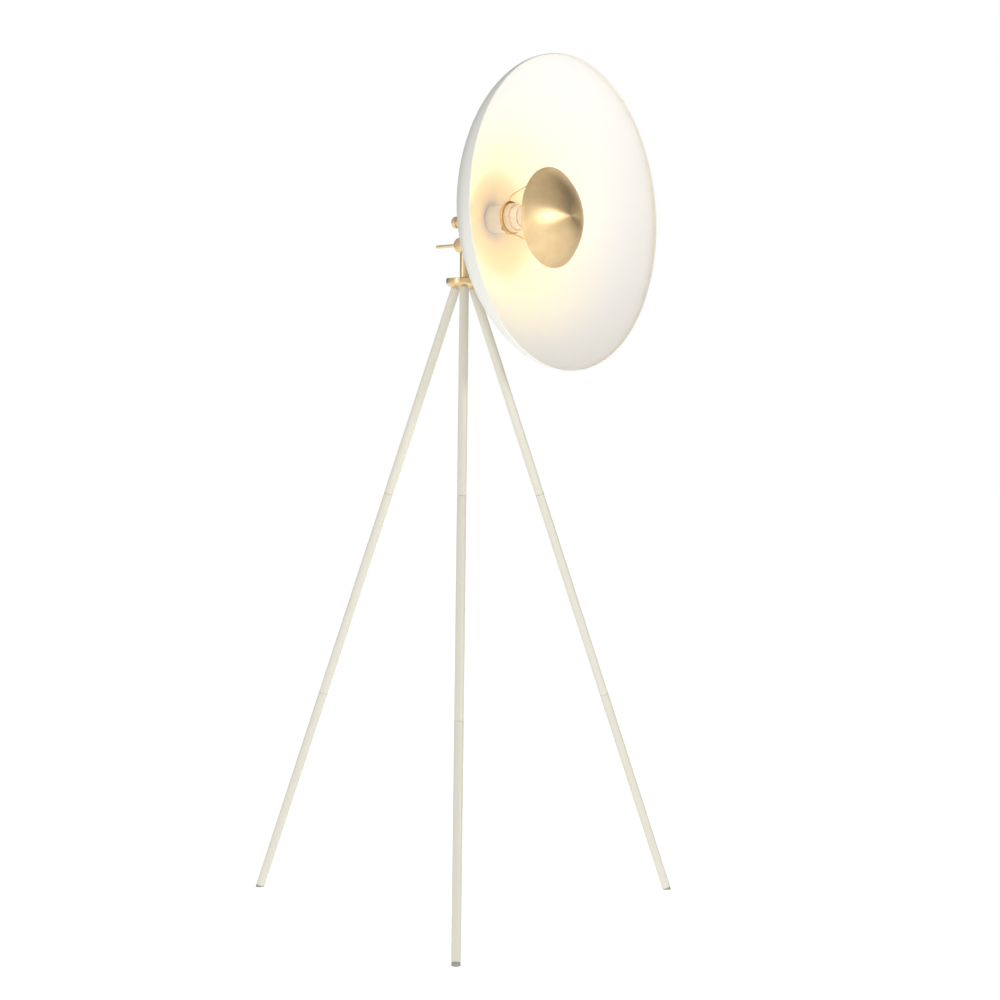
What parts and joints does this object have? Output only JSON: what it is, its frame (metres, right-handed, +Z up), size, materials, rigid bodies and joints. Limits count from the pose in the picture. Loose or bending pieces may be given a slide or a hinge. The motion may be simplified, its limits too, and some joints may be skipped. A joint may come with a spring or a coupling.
{
  "type": "tripod floor lamp",
  "caption": "Floor lamp on a tripod of screwed tubes, with a tilting dish shade that throws light back from a small spun inner reflector.",
  "frame": {"origin": "middle of the bounding box, on the floor plane under the glides", "axes": "+Z up; the lamp head faces -Y at rest; +X is on the left of someone looking into the dish"},
  "size_m": [0.7568, 0.7076, 1.4703],
  "materials": {
    "ivory_enamel": "satin",
    "white_enamel": "satin",
    "satin_brass": "satin",
    "zinc_steel": "satin",
    "grey_rubber": "matte",
    "white_nylon": "matte",
    "glazed_ceramic": "gloss",
    "opal_plastic": "satin",
    "lamp_plastic": "satin",
    "lead_brown": "matte",
    "lead_blue": "matte"
  },
  "bodies": {
    "stand": {"hub_bowl": "satin_brass", "cord_bush": "grey_rubber", "pan_spindle": "zinc_steel", "leg_stud_a": "zinc_steel", "leg_a_tube_1": "ivory_enamel", "leg_a_tube_2": "ivory_enamel", "leg_a_tube_3": "ivory_enamel", "leg_a_coupler_1": "zinc_steel", "leg_a_coupler_2": "zinc_steel", "foot_glide_a": "grey_rubber", "leg_stud_b": "zinc_steel", "leg_b_tube_1": "ivory_enamel", "leg_b_tube_2": "ivory_enamel", "leg_b_tube_3": "ivory_enamel", "leg_b_coupler_1": "zinc_steel", "leg_b_coupler_2": "zinc_steel", "foot_glide_b": "grey_rubber", "leg_stud_c": "zinc_steel", "leg_c_tube_1": "ivory_enamel", "leg_c_tube_2": "ivory_enamel", "leg_c_tube_3": "ivory_enamel", "leg_c_coupler_1": "zinc_steel", "leg_c_coupler_2": "zinc_steel", "foot_glide_c": "grey_rubber"},
    "swivel": {"pan_washer": "white_nylon", "post": "satin_brass", "pan_grub_screw": "zinc_steel", "clevis": "satin_brass", "pivot_bolt": "satin_brass"},
    "clamp": {"clamp_knob": "satin_brass", "clamp_lever": "satin_brass"},
    "head": {"head_arm": "satin_brass", "friction_washer_left": "white_nylon", "friction_washer_right": "white_nylon", "stem_tube": "satin_brass", "stem_end_cap": "satin_brass", "rotary_switch": "white_nylon", "back_cup": "satin_brass", "dish_shade": "white_enamel", "dish_nipple": "zinc_steel", "nipple_nut": "zinc_steel", "holder_cover": "white_enamel", "holder_core": "glazed_ceramic", "centre_contact": "satin_brass", "side_contact": "satin_brass", "shade_ring": "satin_brass", "lock_ring": "white_nylon", "spider_wire_1": "satin_brass", "spider_wire_2": "satin_brass", "spider_wire_3": "satin_brass", "inner_reflector": "satin_brass", "bulb_cap": "zinc_steel", "bulb_housing": "lamp_plastic", "led_board": "lamp_plastic", "bulb_dome": "opal_plastic", "live_lead": "lead_brown", "neutral_lead": "lead_blue"},
    "knob": {"switch_knob": "satin_brass", "switch_spindle": "zinc_steel", "knob_grub_screw": "zinc_steel"}
  },
  "joints": [
    {"name": "head_pan", "type": "hinge", "parent": "stand", "child": "swivel", "pos_m": [-0.02897, -0.08211, 1.12], "axis": [0, 0, 1], "range_deg": [-165, 165]},
    {"name": "head_tilt", "type": "hinge", "parent": "swivel", "child": "head", "pos_m": [-0.02897, -0.08211, 1.16], "axis": [-1, 0, 0], "range_deg": [-15, 60]},
    {"name": "clamp_turn", "type": "hinge", "parent": "swivel", "child": "clamp", "pos_m": [-0.04287, -0.08211, 1.16], "axis": [-1, 0, 0], "range_deg": [-40, 40]},
    {"name": "switch_turn", "type": "hinge", "parent": "head", "child": "knob", "pos_m": [-0.02897, -0.0667, 1.20074], "axis": [0, -0.9998, 0.0175], "continuous": true}
  ]
}
